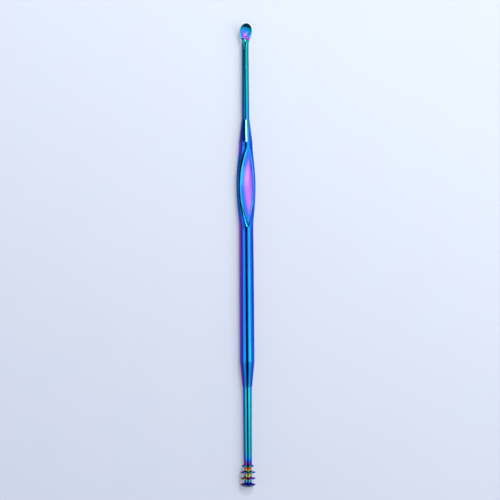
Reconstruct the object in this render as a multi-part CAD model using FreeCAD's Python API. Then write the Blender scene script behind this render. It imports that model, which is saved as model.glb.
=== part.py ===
"""Double-ended ear pick: one piece of stainless steel, turned from a bar, then pressed, bent and stamped.

Millimetres. The pick lies along Y on the surface z = 0, spoon towards +Y and ringed head towards -Y. The
two thumb hollows of the grip face straight up and straight down, and the spoon opens upwards. X is across.
The origin lies under the middle of the pick's length. A station is a place along Y.
"""

import os
from math import cos, pi, radians, sin, sqrt, tan

import FreeCAD
import Part

# Ringed head: a domed end disc, then thin rings and a smaller collar on a core
DISC_DIAMETER = 4.08
COLLAR_DIAMETER = 3.24
CORE_DIAMETER = 1.96
RING_COUNT = 2
RING_PITCH = 1.64
RIM_THICKNESS = 0.32
RIM_CHAMFER = 0.12
RING_FLANK_RISE = 0.34
DOME_RISE = 0.62

# Lower neck and lower cone, between the ringed head and the shank
LOWER_NECK_LENGTH = 21.0
LOWER_NECK_TIP_DIAMETER = 2.24
LOWER_NECK_ROOT_DIAMETER = 2.46
LOWER_CONE_LENGTH = 6.8
LOWER_CONE_END_DIAMETER = 2.66
STEP_RUN = 0.08

# Shank: a round bar that tapers a little towards the grip
SHANK_DIAMETER = 4.0
SHANK_LENGTH = 19.0
TAPER_LENGTH = 17.3

# Grip: the bar is squeezed to a leaf, with a long hollow for the thumb in both faces
GRIP_LENGTH = 21.8
GRIP_START_DIAMETER = 3.86
GRIP_END_DIAMETER = 3.68
GRIP_WIDTH = 5.46
GRIP_CROWN_HEIGHT = 2.4
GRIP_FALLOFF = 1.5
GRIP_SECTIONS = 13
HOLLOW_EDGE_THICKNESS = 1.62
HOLLOW_WIDTH = 4.0
HOLLOW_CROSS_RADIUS = 10.0
HOLLOW_EDGE_FILLET = 0.75
BARREL_OVERRUN = 2.0

# Shoulder, upper cone and upper neck, between the grip and the spoon
SHOULDER_LENGTH = 1.0
UPPER_CONE_LENGTH = 5.9
UPPER_CONE_BASE_DIAMETER = 3.64
UPPER_CONE_END_DIAMETER = 2.22
UPPER_NECK_LENGTH = 19.1
UPPER_NECK_ROOT_DIAMETER = 2.1
UPPER_NECK_TIP_DIAMETER = 1.9

# Spoon: the neck is bent up, pressed flat as it flares out, and stamped to a bowl with an egg-shaped rim
BEND_ANGLE = 13.0
BEND_RADIUS = 9.0
SPOON_WIDTH = 3.52
SPOON_TIP_LENGTH = 2.25
SPOON_BACK_LENGTH = 2.7
SPOON_DEPTH = 1.25
SPOON_DROP = 0.2
FLARE_CROWN = 0.3
FLARE_SHARPNESS = 8
FLARE_SECTIONS = 12
SPOON_RIM_WIDTH = 0.18
CAVITY_DEPTH = 0.95
CAVITY_BACK_LENGTH = 1.7
CAVITY_LIP_RADIUS = 0.12
PUNCH_STANDOFF = 0.03
CLEARING_BACK_LENGTH = 1.78
CLEARING_RADIUS = 4.0
CLEARING_SLOPE = 12.0
CLEARING_EDGE_FILLET = 0.25

TOUCHING = 1e-4

Vector = FreeCAD.Vector
ORIGIN = Vector(0, 0, 0)
ACROSS = Vector(1, 0, 0)
ALONG = Vector(0, 1, 0)
UP = Vector(0, 0, 1)


class Profile:
    """Half outline of a turned length: X is the radius and Y the station. It closes along the axis."""

    def __init__(self, radius, station):
        self.start = Vector(radius, station, 0)
        self.end = self.start
        self.edges = []

    def line_to(self, radius, station):
        start, self.end = self.end, Vector(radius, station, 0)
        if start != self.end:
            self.edges.append(Part.makeLine(start, self.end))

    def arc_to(self, through, end):
        start, self.end = self.end, Vector(*end, 0)
        self.edges.append(Part.Arc(start, Vector(*through, 0), self.end).toShape())

    def turned(self):
        """The solid that the closed half outline sweeps in one turn about the axis."""
        for radius, station in ((0, self.end.y), (0, self.start.y), (self.start.x, self.start.y)):
            self.line_to(radius, station)
        return Part.Face(Part.Wire(self.edges)).revolve(ORIGIN, ALONG, 360)


def mixed(first, second, share):
    return first + (second - first) * share


def sagitta(radius, half_chord):
    """Height of an arc over its chord."""
    return radius - sqrt(radius**2 - half_chord**2)


def edges_on(shape, tool):
    """Edges of a cut shape that run along the surface of the tool that cut it."""
    found = []
    for edge in shape.Edges:
        middle = Part.Vertex(edge.valueAt((edge.FirstParameter + edge.LastParameter) / 2))
        if middle.distToShape(tool)[0] < TOUCHING:
            found.append(edge)
    return found


def section(station, half_width, rise, drop, level=0.0):
    """Closed outline across the pick: two half ellipses that meet at a level over the axis."""
    middle = Vector(0, station, level)
    side = middle + ACROSS * half_width
    lower = Part.Ellipse(side, middle + UP * drop, middle).toShape(pi, 2 * pi)
    upper = Part.Ellipse(side, middle + UP * rise, middle).toShape(0, pi)
    return Part.Wire([lower, upper])


def stations():
    """Where each length of the pick starts, with the middle of the whole at station 0."""
    angle = radians(BEND_ANGLE)
    bent_length = BEND_RADIUS * sin(angle)
    spoon_length = (SPOON_BACK_LENGTH + SPOON_TIP_LENGTH) * cos(angle) + SPOON_DROP * sin(angle)
    lengths = {
        "head": DOME_RISE + RING_PITCH * (RING_COUNT + 1) + RIM_THICKNESS + RING_FLANK_RISE,
        "lower neck": LOWER_NECK_LENGTH,
        "lower cone": LOWER_CONE_LENGTH,
        "shank": SHANK_LENGTH,
        "taper": TAPER_LENGTH,
        "grip": GRIP_LENGTH,
        "shoulder": SHOULDER_LENGTH,
        "upper cone": UPPER_CONE_LENGTH,
        "upper neck": UPPER_NECK_LENGTH,
        "bend": bent_length + spoon_length,
    }
    station = -sum(lengths.values()) / 2
    starts = {}
    for name, length in lengths.items():
        starts[name] = station
        station += length
    return starts


def add_ring(profile, diameter, top_diameter):
    """A ring's rim and its sloping flank, from the edge of its underside where the profile stands."""
    under = profile.end.y
    profile.line_to(diameter / 2, under + RIM_CHAMFER)
    profile.line_to(diameter / 2, under + RIM_THICKNESS)
    profile.line_to(top_diameter / 2, under + RIM_THICKNESS + RING_FLANK_RISE)


def lower_turning(at):
    """Ringed head, lower neck, lower cone, shank and the taper up to the grip."""
    dome_edge = DISC_DIAMETER / 2 - RIM_CHAMFER
    dome_radius = (dome_edge**2 + DOME_RISE**2) / (2 * DOME_RISE)
    under = at["head"] + DOME_RISE
    profile = Profile(0, at["head"])
    profile.arc_to((dome_edge / 2, at["head"] + sagitta(dome_radius, dome_edge / 2)), (dome_edge, under))
    add_ring(profile, DISC_DIAMETER, CORE_DIAMETER)
    rings = [(DISC_DIAMETER, CORE_DIAMETER)] * RING_COUNT + [(COLLAR_DIAMETER, LOWER_NECK_TIP_DIAMETER)]
    for diameter, top_diameter in rings:
        under += RING_PITCH
        profile.line_to(CORE_DIAMETER / 2, under)
        profile.line_to(diameter / 2 - RIM_CHAMFER, under)
        add_ring(profile, diameter, top_diameter)
    for diameter, station in (
        (LOWER_NECK_ROOT_DIAMETER, at["lower cone"] - STEP_RUN),
        (LOWER_CONE_END_DIAMETER, at["lower cone"]),
        (SHANK_DIAMETER, at["shank"]),
        (SHANK_DIAMETER, at["taper"]),
        (GRIP_START_DIAMETER, at["grip"]),
    ):
        profile.line_to(diameter / 2, station)
    return profile.turned()


def upper_turning(at):
    """Shoulder, upper cone and the straight part of the upper neck."""
    profile = Profile(GRIP_END_DIAMETER / 2, at["shoulder"])
    for diameter, station in (
        (UPPER_CONE_BASE_DIAMETER, at["upper cone"]),
        (UPPER_CONE_END_DIAMETER, at["upper neck"]),
        (UPPER_NECK_ROOT_DIAMETER, at["upper neck"] + STEP_RUN),
        (UPPER_NECK_TIP_DIAMETER, at["bend"]),
    ):
        profile.line_to(diameter / 2, station)
    return profile.turned()


def squeezed_bar(at):
    """The grip before its hollows: the press spreads the bar sideways and takes height off its crown."""
    sections = []
    for index in range(GRIP_SECTIONS):
        share = index / (GRIP_SECTIONS - 1)
        bar = mixed(GRIP_START_DIAMETER, GRIP_END_DIAMETER, share) / 2
        squeeze = (1 - (2 * share - 1) ** 2) ** GRIP_FALLOFF
        half_width = mixed(bar, GRIP_WIDTH / 2, squeeze)
        half_height = mixed(bar, GRIP_CROWN_HEIGHT / 2, squeeze)
        sections.append(section(at["grip"] + share * GRIP_LENGTH, half_width, half_height, half_height))
    return Part.makeLoft(sections, True)


def press_barrel(at):
    """Barrel that presses the upper hollow. Its belly runs out on the bar's crown at both ends of the grip."""
    crown = (GRIP_START_DIAMETER + GRIP_END_DIAMETER) / 4
    floor = HOLLOW_EDGE_THICKNESS / 2 - sagitta(HOLLOW_CROSS_RADIUS, HOLLOW_WIDTH / 2)
    depth = crown - floor
    belly_radius = (GRIP_LENGTH**2 / 4 + depth**2) / (2 * depth)
    reach = ALONG * (GRIP_LENGTH / 2 + BARREL_OVERRUN)
    middle = Vector(0, at["grip"] + GRIP_LENGTH / 2, floor + HOLLOW_CROSS_RADIUS)
    belly_top = middle + UP * HOLLOW_CROSS_RADIUS
    fall = UP * sagitta(belly_radius, reach.y)
    near, far = belly_top - reach - fall, belly_top + reach - fall
    belly = Part.Arc(near, belly_top, far).toShape()
    rest = Part.makePolygon([far, middle + reach, middle - reach, near])
    return Part.Face(Part.Wire([belly] + rest.Edges)).revolve(middle, ALONG, 360)


def with_hollows(body, at):
    """The body with a thumb hollow in both faces of its grip, each with a rounded edge."""
    barrel = press_barrel(at)
    for tool in (barrel, barrel.mirror(ORIGIN, UP)):
        body = body.cut(tool)
        body = body.makeFillet(HOLLOW_EDGE_FILLET, edges_on(body, tool))
    return body


def spoon_half_width(station):
    """Half width behind the bowl's widest section, which is at station 0: an egg that melts into the neck."""
    neck = UPPER_NECK_TIP_DIAMETER / 2
    egg = SPOON_WIDTH / 2 * sqrt(max(0, 1 - (station / SPOON_BACK_LENGTH) ** 2))
    return (neck**FLARE_SHARPNESS + egg**FLARE_SHARPNESS) ** (1 / FLARE_SHARPNESS)


def flare():
    """The end of the neck as it is pressed flat and spreads to the bowl's widest section."""
    neck = UPPER_NECK_TIP_DIAMETER / 2
    sections = []
    for index in range(FLARE_SECTIONS):
        station = -SPOON_BACK_LENGTH * (1 - index / (FLARE_SECTIONS - 1))
        half_width = spoon_half_width(station)
        spread = (half_width - neck) / (spoon_half_width(0) - neck)
        rise = mixed(neck, FLARE_CROWN, spread)
        drop = mixed(neck, SPOON_DEPTH, spread)
        sections.append(section(station, half_width, rise, drop, -SPOON_DROP * spread))
    return Part.makeLoft(sections, True)


def bowl_tip():
    """Quarter of an ellipsoid that closes the widest section towards the tip."""
    stretch = FreeCAD.Matrix()
    stretch.scale(spoon_half_width(0), SPOON_TIP_LENGTH, SPOON_DEPTH)
    quarter_ball = Part.makeSphere(1, ORIGIN, UP, -90, 0, 180)
    return quarter_ball.transformGeometry(stretch).translate(UP * -SPOON_DROP)


def clearing_cone():
    """Cone that clears the flare down to the level of the rim and leaves a sloping wall behind the bowl."""
    height = UPPER_NECK_TIP_DIAMETER
    top_radius = CLEARING_RADIUS + height * tan(radians(CLEARING_SLOPE))
    cone = Part.makeCone(CLEARING_RADIUS, top_radius, height)
    return cone.translate(Vector(0, CLEARING_RADIUS - CLEARING_BACK_LENGTH, -SPOON_DROP))


def cavity_punch():
    """Oval punch with a rolled shoulder: it sinks the cavity and rounds its lip in one stroke."""
    front = SPOON_TIP_LENGTH - SPOON_RIM_WIDTH
    mouth = spoon_half_width(0) - SPOON_RIM_WIDTH
    level = UP * -CAVITY_LIP_RADIUS
    side = level + ACROSS * (mouth - CAVITY_LIP_RADIUS)
    edge = ACROSS * mouth
    lip_middle = edge + level + Vector(-1, 0, 1) * (CAVITY_LIP_RADIUS * sqrt(0.5))
    belly = Part.Ellipse(side, UP * -CAVITY_DEPTH, level).toShape(0, pi / 2)
    lip = Part.Arc(side, lip_middle, edge).toShape()
    standoff = UP * PUNCH_STANDOFF
    rest = Part.makePolygon([edge, edge + standoff, standoff, UP * -CAVITY_DEPTH])
    punch = Part.Face(Part.Wire([belly, lip] + rest.Edges)).revolve(ORIGIN, UP, 360)
    stretch = FreeCAD.Matrix()
    stretch.scale(1, (front + CAVITY_BACK_LENGTH) / (2 * mouth), 1)
    place = Vector(0, (front - CAVITY_BACK_LENGTH) / 2, -SPOON_DROP)
    return punch.transformGeometry(stretch).translate(place)


def spoon():
    """Flare and bowl about a straight axis, with the bowl's widest section at station 0."""
    cone = clearing_cone()
    cleared = flare().fuse(bowl_tip()).cut(cone)
    wall_top = max(edges_on(cleared, cone), key=lambda edge: edge.BoundBox.ZMax)
    return cleared.makeFillet(CLEARING_EDGE_FILLET, [wall_top]).cut(cavity_punch())


def bent_end(at):
    """The bend of the upper neck and the spoon that it lifts."""
    pivot = Vector(0, at["bend"], BEND_RADIUS)
    neck_end = Part.Circle(ALONG * at["bend"], ALONG, UPPER_NECK_TIP_DIAMETER / 2)
    bend = Part.Face(Part.Wire(neck_end.toShape())).revolve(pivot, ACROSS, BEND_ANGLE)
    lifted = spoon().translate(ALONG * (at["bend"] + SPOON_BACK_LENGTH))
    return [bend, lifted.rotate(pivot, ACROSS, BEND_ANGLE)]


def ear_pick():
    at = stations()
    bar = lower_turning(at).fuse([squeezed_bar(at), upper_turning(at)])
    pick = with_hollows(bar, at).fuse(bent_end(at))
    return pick.translate(UP * (DISC_DIAMETER / 2))


os.makedirs("parts", exist_ok=True)
ear_pick().exportStep("parts/ear_pick.step")
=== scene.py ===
"""Ear pick of polished steel with a rainbow interference coat, lying on a pale sheet under soft boxes."""

import math

import bmesh
import bpy
from mathutils import Matrix, Vector

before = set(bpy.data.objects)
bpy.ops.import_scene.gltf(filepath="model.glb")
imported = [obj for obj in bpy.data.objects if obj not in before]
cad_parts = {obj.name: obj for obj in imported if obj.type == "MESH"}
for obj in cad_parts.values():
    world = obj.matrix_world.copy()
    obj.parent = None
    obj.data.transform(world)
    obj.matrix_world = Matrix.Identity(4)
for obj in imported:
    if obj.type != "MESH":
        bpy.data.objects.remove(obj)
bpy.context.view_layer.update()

MILLIMETRES_IN_METRE = 1000.0
DEGREES_IN_TURN = 360.0

# The pick in millimetres: its length, its axis above the sheet, and where its sections meet
PICK_LENGTH = 125.0
AXIS_HEIGHT = 2.04
HEAD_TO_NECK = (-53.2, -53.0)
SHOULDER_TO_NECK = (28.0, 36.0)
NECK_TO_SPOON = (56.5, 58.5)

# The leaf that the grip is pressed to, with the hollow's rim and floor a little right of the middle
GRIP_MIDDLE = 18.704
GRIP_LENGTH = 21.8
HOLLOW_HALF_WIDTH = 2.2
RIM_OFFSET = 0.1
FLOOR_OFFSET = 0.35

# Bands of the leaf, in shares of its half width inside its edge
FLOOR_BAND = (0.09, 0.8)
RIM_BAND = (-0.10, 0.0, 0.08, 0.22)
PRESSED_BAND = (-0.12, 0.02)
OUTSIDE_BAND = (-0.13, -0.03)

# How wide the leaf is, as a share of its widest, where its flank is pushed out and the bar is squeezed
PUSHED_BAND = (0.3, 0.75)
SQUEEZED_BAND = (0.0, 0.6)
SQUEEZE = 0.6

# The spoon: the neck bends up, and the bowl's ellipsoid lies along the bent axis
BEND_STATION = 55.604
BEND_RADIUS = 9.0
BEND_ANGLE = 13.0
BOWL_MIDDLE = 2.885
BOWL_RIM = 9.2
BOWL_HALF_WIDTH = 1.58
BOWL_HALF_LENGTH = 1.885
BOWL_DEPTH = 0.95
BOWL_EDGE = (1.06, 1.18)

# The wall behind the bowl, by its distance from the bowl's middle, and its height over the bowl's rim
WALL_START = (-2.35, -2.1)
WALL_END = (-1.6, -1.2)
WALL_TOP = (-0.3, -0.1)

# The bowl's colours run askew: to the right they are further on towards the tip, and most so at the back
TIP_SKEW = 0.2
BACK_SKEW = 0.46
BOWL_TURN = (-0.6, 0.6)

# Stretches along the pick and strips across it, in millimetres, that differ from the metal round them
LOWER_RIM = (12.0, 14.5)
LOWER_TIP = (6.6, 7.6, 9.5, 11.5)
LEFT_OF_TIP = (-1.6, -1.2, -0.8, -0.4)
LOWER_CROWN = (7.0, 8.0, 9.0, 11.5)
RIGHT_OF_TIP = (-0.6, -0.2)
HOLLOW_MIDST = (15.5, 20.5, 23.0, 28.0)
CONE = (30.0, 31.0, 35.5, 38.0)
CONE_CREST = (-1.1, -0.7, 0.0, 0.4)
LEFT_SIDE = (-1.5, -1.0)
RIM_LEFT = (-0.5, 0.0)
RIM_ACROSS = (-1.0, 1.0)

# Changes in the coat's thickness, as shares of its whole range
HOLLOW_THINNER = 0.255
LEFT_FLANK_THICKER = 0.10
LEFT_RIM_COAT = 0.70
RIGHT_RIM_COAT = 0.56
BOWL_SIDES_THICKER = 0.20
BOWL_RIGHT_THINNER = 0.03
BOWL_THICKEST = 0.82
COAT_DRIFT = 0.06

# Painted light and shade on the metal: how much brighter than the coat's own colour it is painted there, as
# a share
LOWER_RIM_PAINTED_SHADE = -0.75
LOWER_CROWN_PAINTED_LIGHT = 0.25
LOWER_TIP_PAINTED_SHADE = -0.6
HOLLOW_MIDST_PAINTED_SHADE = -0.2
CONE_PAINTED_SHADE = -0.25
LEFT_FLANK_PAINTED_SHADE = -0.5
HOLLOW_PAINTED_LIGHT = 0.12

# A painted sheen: a pale tone over the coat's colour, and its share in the hollow, with painted glints on
# the upper cone and on the hollow's rim
PAINTED_SHEEN_TONE = (0.55, 0.55, 0.9, 1.0)
HOLLOW_PAINTED_SHEEN = 0.16
CONE_PAINTED_GLINT = 0.11
RIM_PAINTED_GLINT = 0.06

# The finish: its roughness, and what turning marks, fine rubs, the bowl and the hollow add to it
POLISH = 0.11
MARKS_ROUGHNESS = 0.05
RUBS_ROUGHNESS = 0.04
BOWL_ROUGHNESS = 0.40
HOLLOW_ROUGHNESS = 0.04
MARKS_STRETCH = 0.02

# The coat's colours as it grows thicker, from straw to yellow-green
COAT_COLOURS = (
    (0.00, "a3a02e"),
    (0.10, "b8662c"),
    (0.18, "b83c55"),
    (0.28, "a040b4"),
    (0.36, "7048dc"),
    (0.44, "2c46d4"),
    (0.54, "0870e2"),
    (0.64, "0c94da"),
    (0.74, "14a6b8"),
    (0.84, "149a84"),
    (1.00, "a8b85c"),
)

# The ringed head: station, the coat's thickness, its brightness as painted shade, and how much thicker each
# mm to the right
HEAD_COAT_AND_SHADE = (
    (-62.50, 0.80, 0.45, 0.00),
    (-61.84, 0.80, 0.45, 0.00),
    (-61.74, 0.46, 0.42, 0.00),
    (-61.24, 0.42, 0.48, 0.01),
    (-61.18, 0.55, 0.85, 0.05),
    (-60.85, 0.60, 0.90, 0.05),
    (-60.55, 0.90, 0.90, 0.03),
    (-60.26, 0.94, 0.90, 0.00),
    (-60.22, 0.32, 0.75, 0.155),
    (-59.92, 0.31, 0.80, 0.155),
    (-59.62, 0.30, 0.80, 0.155),
    (-59.54, 1.08, 1.00, 0.07),
    (-59.22, 1.08, 1.00, 0.07),
    (-59.16, 0.02, 1.00, 0.07),
    (-58.62, 0.02, 1.00, 0.07),
    (-58.57, 0.70, 0.65, 0.07),
    (-58.27, 0.70, 0.75, 0.07),
    (-57.98, 0.68, 0.75, 0.07),
    (-57.94, 0.02, 1.00, 0.07),
    (-57.62, 0.06, 1.00, 0.06),
    (-57.30, 0.17, 0.95, 0.05),
    (-56.98, 0.19, 0.90, 0.05),
    (-56.94, 0.82, 0.80, 0.04),
    (-56.58, 0.80, 0.75, 0.04),
    (-56.44, 0.37, 0.55, 0.04),
    (-56.10, 0.35, 0.52, 0.04),
    (-55.70, 0.44, 0.70, 0.03),
    (-55.30, 0.54, 0.80, 0.02),
    (-54.80, 0.61, 0.90, 0.01),
    (-54.20, 0.69, 0.85, 0.00),
    (-53.00, 0.76, 0.85, 0.00),
)
HEAD_REACH = 9.5

# The rest of the pick: station, the coat's thickness, and its brightness as painted shade
BODY_COAT_AND_SHADE = (
    (-53.0, 0.76, 0.85),
    (-48.0, 0.77, 0.92),
    (-37.0, 0.73, 1.0),
    (-35.5, 0.66, 0.95),
    (-34.5, 0.58, 0.80),
    (-30.5, 0.58, 0.80),
    (-28.5, 0.60, 1.0),
    (-18.0, 0.56, 1.0),
    (7.0, 0.54, 1.0),
    (30.0, 0.56, 1.0),
    (37.0, 0.67, 1.0),
    (44.0, 0.73, 1.0),
    (52.0, 0.77, 1.0),
    (60.8, 0.77, 1.0),
    (61.6, 0.80, 0.35),
    (62.5, 0.80, 0.30),
)

# Round the bar: degrees from straight up to the right, how much thinner the coat is, and its brightness as
# painted shade: a dark reflected band left of the top, a darker underside
FLANK_COAT_AND_SHADE = (
    (-180, 0.16, 0.60),
    (-110, 0.22, 0.85),
    (-84, 0.24, 0.85),
    (-70, 0.225, 0.62),
    (-60, 0.13, 0.24),
    (-51, 0.07, 0.95),
    (-42, 0.00, 1.00),
    (14, 0.00, 1.00),
    (29, 0.06, 0.90),
    (43, 0.11, 0.90),
    (75, 0.14, 0.80),
    (180, 0.16, 0.60),
)

# The same round the upper neck and its cone, with its own painted shade
NECK_FLANK_COAT_AND_SHADE = (
    (-180, 0.12, 0.50),
    (-95, 0.14, 0.60),
    (-68, 0.15, 0.55),
    (-55, 0.06, 0.24),
    (-46, 0.02, 0.26),
    (-32, 0.00, 0.72),
    (-14, 0.00, 1.00),
    (20, 0.00, 1.00),
    (45, 0.03, 0.85),
    (75, 0.06, 0.75),
    (180, 0.12, 0.50),
)

# The bowl: millimetres from its middle to the tip, the coat's thickness, half its brightness as painted
# light and shade, and its paleness as a painted sheen
BOWL_COAT_LIGHT_AND_SHEEN = (
    (-2.40, 0.13, 0.90, 0.06),
    (-1.95, 0.17, 1.00, 0.10),
    (-1.65, 0.24, 1.00, 0.12),
    (-1.25, 0.28, 0.95, 0.12),
    (-0.72, 0.35, 0.78, 0.12),
    (-0.17, 0.45, 0.72, 0.08),
    (0.38, 0.56, 0.75, 0.0),
    (0.80, 0.60, 0.75, 0.0),
    (1.00, 0.66, 0.35, 0.0),
    (1.22, 0.80, 0.10, 0.0),
    (1.90, 0.82, 0.10, 0.0),
)
BOWL_REACH = 2.5

# The pale sheet in metres: painted light makes it brighter to the back right, and part of its paleness is
# its own glow
SHEET_HALF = 1.6
SHEET_PAINTED_SHADE = "ccd4e7"
SHEET_PAINTED_LIGHT = "ecf5ff"
SHEET_GRAIN = "e2e2f2"
GRAIN_SHARE = 0.3
BRIGHTER_RIGHT = 0.5
BRIGHTER_BACK = 0.8
BRIGHTEN_REACH = 0.11
GLOW_SHARE = 0.38

# Soft boxes: degrees off upright to the right, metres from the axis, along it, wide and long, and radiance
SOFT_BOXES = {
    "left_box": (-59.5, 0.70, -0.06, 0.65, 0.34, 1.3),
    "key_box": (23.5, 0.70, 0.00, 0.62, 0.66, 1.3),
    "key_core": (26.0, 0.68, -0.03, 0.32, 0.13, 1.7),
    "right_fill": (64.0, 0.75, 0.0, 0.40, 0.50, 0.8),
    "window": (-5.5, 0.70, 0.248, 0.27, 0.06, 24.0),
    "back_lamp": (-4.0, 0.70, 0.47, 0.26, 0.11, 30.0),
    "near_end": (0.0, 0.72, -0.90, 1.20, 1.00, 0.4),
}

# The height they aim at, how far along the axis they turn back to the pick's middle, and the room's light
AIM_HEIGHT = 0.002
FAR_ALONG = 0.3
ROOM_LIGHT = (0.10, 0.12, 0.155, 1.0)

# The view in metres and degrees: over the pick, leaning to its left, with a slight turn
VIEW_LEAN = 20.0
VIEW_TURN = 0.37
VIEW_REACH = 0.575
VIEW_SPAN = 0.1348
VIEW_TARGET = (0.0, 0.001496, AXIS_HEIGHT / MILLIMETRES_IN_METRE)
VIEW_SHIFT = 0.00097
SENSOR = 36.0
NEAREST = 0.01

# The black card round the lens: its lean past the view's, its distance, and its outline right and ahead
CARD_LEAN = 1.5
CARD_REACH = 0.64
CARD_OUTLINE = ((-0.195, -0.4), (0.4, -0.4), (0.4, -0.1), (0.155, -0.03), (0.155, 0.11), (-0.195, 0.11))

AHEAD = Vector((0.0, 1.0, 0.0))


class Sheet:
    """A material's node sheet: adds nodes and links what they are given."""

    def __init__(self, tree):
        self.tree = tree

    def add(self, kind, settings=None, inputs=None):
        """Adds a node, makes its settings first, then sets or links each input named or numbered."""
        node = self.tree.nodes.new("ShaderNode" + kind)
        for name, value in (settings or {}).items():
            setattr(node, name, value)
        for name, value in (inputs or {}).items():
            if isinstance(value, Flow):
                self.tree.links.new(value.socket, node.inputs[name])
            else:
                node.inputs[name].default_value = value
        return node

    def flow(self, kind, settings=None, inputs=None, output=0):
        """Adds a node and returns one of its outputs."""
        return Flow(self, self.add(kind, settings, inputs).outputs[output])

    def place(self):
        """The point on the surface, and its distances across the piece, along it and up."""
        point = self.flow("TexCoord", output="Object")
        axes = self.add("SeparateXYZ", inputs={0: point})
        return point, [Flow(self, output) for output in axes.outputs]

    def ramp(self, factor, stops):
        """A colour for each value of factor, from stops of (position, colour)."""
        node = self.add("ValToRGB", inputs={"Fac": factor})
        elements = node.color_ramp.elements
        while len(elements) < len(stops):
            elements.new(1.0)
        for element, (position, shade) in zip(elements, stops):
            element.position = position
            element.color = shade
        return Flow(self, node.outputs["Color"])

    def table(self, place, rows, start, reach):
        """A row's numbers, up to three, for each place from start to start + reach."""
        count = len(rows[0]) - 1
        spare = (0.0,) * (3 - count)
        stops = [((row - start) / reach, (*numbers, *spare, 1.0)) for row, *numbers in rows]
        parts = self.add("SeparateColor", inputs={0: self.ramp((place - start) / reach, stops)})
        return [Flow(self, output) for output in parts.outputs[:count]]

    def mix(self, factor, low, high):
        """Mixes two colours."""
        return self.flow("Mix", {"data_type": "RGBA"}, {0: factor, 6: low, 7: high}, output=2)


class Flow:
    """One output of a node, which adds, multiplies and so on as a number does."""

    def __init__(self, sheet, socket):
        self.sheet = sheet
        self.socket = socket

    def math(self, operation, *others, swapped=False):
        values = [self, *others]
        if swapped:
            values.reverse()
        return self.sheet.flow("Math", {"operation": operation}, dict(enumerate(values)))

    def __add__(self, other):
        return self.math("ADD", other)

    def __sub__(self, other):
        return self.math("SUBTRACT", other)

    def __rsub__(self, other):
        return self.math("SUBTRACT", other, swapped=True)

    def __mul__(self, other):
        return self.math("MULTIPLY", other)

    def __truediv__(self, other):
        return self.math("DIVIDE", other)

    def __rtruediv__(self, other):
        return self.math("DIVIDE", other, swapped=True)

    def __abs__(self):
        return self.math("ABSOLUTE")

    __radd__ = __add__
    __rmul__ = __mul__

    def squared(self):
        return self * self

    def rising(self, low, high):
        """Rises smoothly from 0 at low to 1 at high."""
        inputs = {"Value": self, "From Min": low, "From Max": high}
        return self.sheet.flow("MapRange", {"interpolation_type": "SMOOTHSTEP"}, inputs)

    def falling(self, low, high):
        """Falls smoothly from 1 at low to 0 at high."""
        return self.rising(high, low)

    def within(self, start, full, ebb, end):
        """Rises from start to full, stays at 1, and falls from ebb to end."""
        return self.rising(start, full) * self.falling(ebb, end)

    def toward(self, other, share):
        """This number where share is 0, and the other where it is 1."""
        return self + (other - self) * share


def colour(text):
    """A colour written as on screen, such as "0a7dfc", as linear light."""
    parts = [int(text[k : k + 2], 16) / 255 for k in (0, 2, 4)]
    light = [c / 12.92 if c <= 0.04045 else ((c + 0.055) / 1.055) ** 2.4 for c in parts]
    return (*light, 1.0)


def new_material(name):
    material = bpy.data.materials.new(name)
    material.use_nodes = True
    material.node_tree.nodes.clear()
    return material, Sheet(material.node_tree)


def coat_and_shade_by_station(sheet, across, along):
    """Thickness of the coat along the pick, and its brightness as painted shade, with a finer table for the
    ringed head.
    """
    start = -PICK_LENGTH / 2
    head, head_brightness, slope = sheet.table(along, HEAD_COAT_AND_SHADE, start, HEAD_REACH)
    body, body_brightness = sheet.table(along, BODY_COAT_AND_SHADE, start, PICK_LENGTH)
    past_head = along.rising(*HEAD_TO_NECK)
    coat = (head + across * slope).toward(body, past_head)
    return coat, head_brightness.toward(body_brightness, past_head)


def coat_and_shade_by_direction(sheet, across, along, above):
    """How much thinner the coat is round the bar, and its brightness there as painted shade."""
    turn = across.math("ARCTAN2", above) * math.degrees(1.0)
    bar = sheet.table(turn, FLANK_COAT_AND_SHADE, -DEGREES_IN_TURN / 2, DEGREES_IN_TURN)
    neck = sheet.table(turn, NECK_FLANK_COAT_AND_SHADE, -DEGREES_IN_TURN / 2, DEGREES_IN_TURN)
    past_shoulder = along.rising(*SHOULDER_TO_NECK)
    return [on_bar.toward(on_neck, past_shoulder) for on_bar, on_neck in zip(bar, neck)]


def grip_masks(across, along):
    """The hollow's floor, its rounded rim, the flank pushed out left of it, and the bar's roundness."""
    leaf = 1.0 - ((along - GRIP_MIDDLE) / (GRIP_LENGTH / 2)).squared()
    inside = leaf - abs(across - RIM_OFFSET) / HOLLOW_HALF_WIDTH
    hollow = (leaf - abs(across - FLOOR_OFFSET) / HOLLOW_HALF_WIDTH).rising(*FLOOR_BAND)
    rim = inside.within(*RIM_BAND)
    left_flank = leaf.rising(*PUSHED_BAND) * inside.falling(*OUTSIDE_BAND) * across.falling(*LEFT_SIDE)
    roundness = (1.0 - inside.rising(*PRESSED_BAND)) * (1.0 - leaf.rising(*SQUEEZED_BAND) * SQUEEZE)
    return hollow, rim, left_flank, roundness


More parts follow.
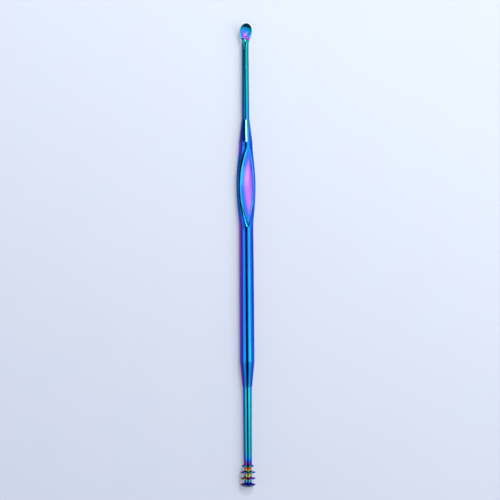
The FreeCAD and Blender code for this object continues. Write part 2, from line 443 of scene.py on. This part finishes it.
def spoon_bowl(sheet, across, along, above):
    """The bowl with the wall behind it: its mask, the coat's thickness, and its brightness and paleness as
    painted light, shade and sheen.
    """
    bend = math.radians(BEND_ANGLE)
    forward, upward = along - BEND_STATION, above - BEND_RADIUS
    ahead = forward * math.cos(bend) + upward * math.sin(bend) - BOWL_MIDDLE
    over_rim = upward * math.cos(bend) - forward * math.sin(bend) + BOWL_RIM
    shell = (across / BOWL_HALF_WIDTH).squared() + (ahead / BOWL_HALF_LENGTH).squared()
    shell = shell + (over_rim / BOWL_DEPTH).squared()

    # The coat thins from the tip to the back, and from the sides to the middle
    slant = ahead + across * (TIP_SKEW + ahead.falling(*BOWL_TURN) * (BACK_SKEW - TIP_SKEW))
    wall = slant.rising(*WALL_START) * ahead.falling(*WALL_END) * over_rim.rising(*WALL_TOP)
    in_bowl = shell.falling(*BOWL_EDGE).math("MAXIMUM", wall)
    coat, half_brightness, paleness = sheet.table(slant, BOWL_COAT_LIGHT_AND_SHEEN, -BOWL_REACH, 2 * BOWL_REACH)
    coat = coat + abs(across) * BOWL_SIDES_THICKER - across * BOWL_RIGHT_THINNER
    return in_bowl, coat.math("MINIMUM", BOWL_THICKEST), half_brightness * 2.0, paleness


def rainbow_steel():
    """Polished steel, coloured by the thickness of its coat, with painted light, shade, sheen and glints
    over that colour.
    """
    material, sheet = new_material("rainbow_steel")
    place, axes = sheet.place()
    across, along, height = (axis * MILLIMETRES_IN_METRE for axis in axes)
    above = height - AXIS_HEIGHT
    coat, brightness = coat_and_shade_by_station(sheet, across, along)
    thinner, flank_brightness = coat_and_shade_by_direction(sheet, across, along, above)
    hollow, rim, left_flank, roundness = grip_masks(across, along)
    in_bowl, bowl_coat, bowl_brightness, bowl_paleness = spoon_bowl(sheet, across, along, above)
    roundness = roundness * along.falling(*NECK_TO_SPOON)
    cone = along.within(*CONE) * across.within(*CONE_CREST)

    # Its thickness, which also drifts a little from place to place
    drift = sheet.flow("TexNoise", inputs={"Vector": place, "Scale": 90.0, "Detail": 3.0})
    rim_coat = LEFT_RIM_COAT + across.rising(*RIM_ACROSS) * (RIGHT_RIM_COAT - LEFT_RIM_COAT)
    coat = coat - thinner * roundness - hollow * HOLLOW_THINNER + left_flank * LEFT_FLANK_THICKER
    coat = coat.toward(rim_coat, rim).toward(bowl_coat, in_bowl) + (drift - 0.5) * COAT_DRIFT

    # Its brightness: painted shade round the bar and along it, then painted light and shade at places, and
    # in the bowl
    brightness = (1.0 - (1.0 - flank_brightness) * roundness) * brightness
    # Painted shade on the lower rim, left of the lower tip, in the hollow's midst, on the cone's crest and
    # the flank; painted light right of the tip and in the hollow
    painted_gains = (
        (rim * along.falling(*LOWER_RIM), LOWER_RIM_PAINTED_SHADE),
        (along.within(*LOWER_CROWN) * across.rising(*RIGHT_OF_TIP), LOWER_CROWN_PAINTED_LIGHT),
        (along.within(*LOWER_TIP) * across.within(*LEFT_OF_TIP), LOWER_TIP_PAINTED_SHADE),
        (hollow * along.within(*HOLLOW_MIDST), HOLLOW_MIDST_PAINTED_SHADE),
        (cone, CONE_PAINTED_SHADE),
        (left_flank, LEFT_FLANK_PAINTED_SHADE),
        (hollow, HOLLOW_PAINTED_LIGHT),
    )
    for mask, gain in painted_gains:
        brightness = brightness * (1.0 + mask * gain)
    brightness = brightness.toward(bowl_brightness, in_bowl)

    # Its colour, with the painted sheen in the hollow and the bowl and the painted glints on the upper cone
    # and the hollow's rim
    paleness = hollow * HOLLOW_PAINTED_SHEEN + cone * CONE_PAINTED_GLINT
    paleness = paleness + rim * across.falling(*RIM_LEFT) * RIM_PAINTED_GLINT
    shade = sheet.ramp(coat, [(thickness, colour(tone)) for thickness, tone in COAT_COLOURS])
    shade = sheet.mix(paleness.toward(bowl_paleness, in_bowl), shade, PAINTED_SHEEN_TONE)
    shade = sheet.flow("VectorMath", {"operation": "SCALE"}, {0: shade, "Scale": brightness})

    # Fine turning marks round the bar and the finest of rubs
    turned = sheet.flow("CombineXYZ", inputs={0: across * MARKS_STRETCH, 1: along, 2: above * MARKS_STRETCH})
    marks = sheet.flow("TexNoise", inputs={"Vector": turned, "Scale": 14.0, "Detail": 4.0})
    rubs = sheet.flow("TexNoise", inputs={"Vector": place, "Scale": 700.0, "Detail": 5.0})
    roughness = POLISH + marks * MARKS_ROUGHNESS + rubs * RUBS_ROUGHNESS
    roughness = roughness + in_bowl * BOWL_ROUGHNESS + hollow * HOLLOW_ROUGHNESS
    bump = sheet.flow("Bump", inputs={"Strength": 0.02, "Distance": 0.00001, "Height": marks})

    steel = sheet.flow(
        "BsdfPrincipled",
        inputs={
            "Base Color": shade,
            "Metallic": 1.0,
            "Roughness": roughness,
            "Normal": bump,
            "Specular Tint": (0.85, 0.55, 0.95, 1.0),
            "Coat Weight": 0.12,
            "Coat Roughness": 0.05,
        },
    )
    sheet.add("OutputMaterial", inputs={0: steel})
    return material


def pale_sheet():
    """Pale card, part of whose paleness is its own glow for the camera and in the metal, so shadows stay
    soft; painted light brightens it to the back right.
    """
    material, sheet = new_material("pale_sheet")
    place, (across, along, _) = sheet.place()
    grain = sheet.flow("TexNoise", inputs={"Vector": place, "Scale": 60.0, "Detail": 4.0})
    # Painted light: the sheet is painted brighter towards the back right
    painted_brightening = (along * BRIGHTER_BACK + across * BRIGHTER_RIGHT).rising(-BRIGHTEN_REACH, BRIGHTEN_REACH)
    shade = sheet.mix(painted_brightening, colour(SHEET_PAINTED_SHADE), colour(SHEET_PAINTED_LIGHT))
    shade = sheet.mix(grain * GRAIN_SHARE, shade, colour(SHEET_GRAIN))
    finish = {"Base Color": shade, "Roughness": 0.8, "Specular IOR Level": 0.2}
    paper = sheet.flow("BsdfPrincipled", inputs=finish)
    glow = sheet.flow("Emission", inputs={"Color": shade, "Strength": 1.0})
    path = sheet.add("LightPath")
    kinds = ("Is Camera Ray", "Is Glossy Ray", "Is Transmission Ray")
    seen, in_metal, through = (Flow(sheet, path.outputs[kind]) for kind in kinds)
    share = (seen + in_metal + through) * GLOW_SHARE
    sheet.add("OutputMaterial", inputs={0: sheet.flow("MixShader", inputs={0: share, 1: paper, 2: glow})})
    return material


def black_card():
    material, sheet = new_material("black_card")
    finish = {"Base Color": (0.004, 0.004, 0.006, 1.0), "Roughness": 0.9, "Specular IOR Level": 0.1}
    sheet.add("OutputMaterial", inputs={0: sheet.flow("BsdfPrincipled", inputs=finish)})
    return material


def put_stage(name, shape, material):
    """Puts up a piece of the stage from its bmesh."""
    mesh = bpy.data.meshes.new(name)
    shape.to_mesh(mesh)
    shape.free()
    mesh.materials.append(material)
    piece = bpy.data.objects.new(name, mesh)
    bpy.context.scene.collection.objects.link(piece)
    return piece


def leaning(angle):
    """The direction angle degrees off the vertical to the right, and the one square to it on its right."""
    turn = math.radians(angle)
    return Vector((math.sin(turn), 0.0, math.cos(turn))), Vector((math.cos(turn), 0.0, -math.sin(turn)))


def put_facing(name, device, centre, right, up, back):
    """Puts up a lamp or a camera that looks away from back."""
    piece = bpy.data.objects.new(name, device)
    piece.matrix_world = Matrix.Translation(centre) @ Matrix((right, up, back)).transposed().to_4x4()
    bpy.context.scene.collection.objects.link(piece)
    return piece


def floor():
    shape = bmesh.new()
    bmesh.ops.create_grid(shape, x_segments=1, y_segments=1, size=SHEET_HALF)
    put_stage("floor", shape, pale_sheet())


def lens_card():
    """Black card round the lens: it makes the dark line down the middle of the bar."""
    away, sideways = leaning(-VIEW_LEAN - CARD_LEAN)
    shape = bmesh.new()
    corners = [away * CARD_REACH + sideways * x + AHEAD * y for x, y in CARD_OUTLINE]
    shape.faces.new([shape.verts.new(corner) for corner in corners])
    put_stage("lens_card", shape, black_card()).visible_camera = False


def soft_box(name, angle, reach, along, width, length, radiance):
    """A rectangular lamp that faces the pick's axis, or its middle where the lamp stands far along it."""
    lamp = bpy.data.lights.new(name, "AREA")
    lamp.shape = "RECTANGLE"
    lamp.size = width
    lamp.size_y = length
    lamp.energy = radiance * math.pi * width * length
    away, sideways = leaning(angle)
    centre = away * reach + Vector((0.0, along, AIM_HEIGHT))
    lean = math.atan2(along, reach) if abs(along) > FAR_ALONG else 0.0
    facing = (away * math.cos(lean) + AHEAD * math.sin(lean)).normalized()
    put_facing(name, lamp, centre, sideways, facing.cross(sideways), facing).visible_camera = False


def room():
    """Faint bluish light from all round."""
    world = bpy.data.worlds.new("room")
    world.use_nodes = True
    world.node_tree.nodes["Background"].inputs["Color"].default_value = ROOM_LIGHT
    bpy.context.scene.world = world


def camera():
    turn = math.radians(VIEW_TURN)
    back, level = leaning(-VIEW_LEAN)
    right = level * math.cos(turn) - AHEAD * math.sin(turn)
    up = level * math.sin(turn) + AHEAD * math.cos(turn)
    lens = bpy.data.cameras.new("camera")
    lens.sensor_width = SENSOR
    lens.lens = SENSOR * VIEW_REACH / VIEW_SPAN
    lens.clip_start = NEAREST
    centre = Vector(VIEW_TARGET) + right * VIEW_SHIFT + back * VIEW_REACH
    bpy.context.scene.camera = put_facing("camera", lens, centre, right, up, back)


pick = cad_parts["ear_pick"]
pick.data.materials.clear()
pick.data.materials.append(rainbow_steel())
floor()
lens_card()
for name, box in SOFT_BOXES.items():
    soft_box(name, *box)
room()
camera()
bpy.context.scene.view_settings.view_transform = "Standard"
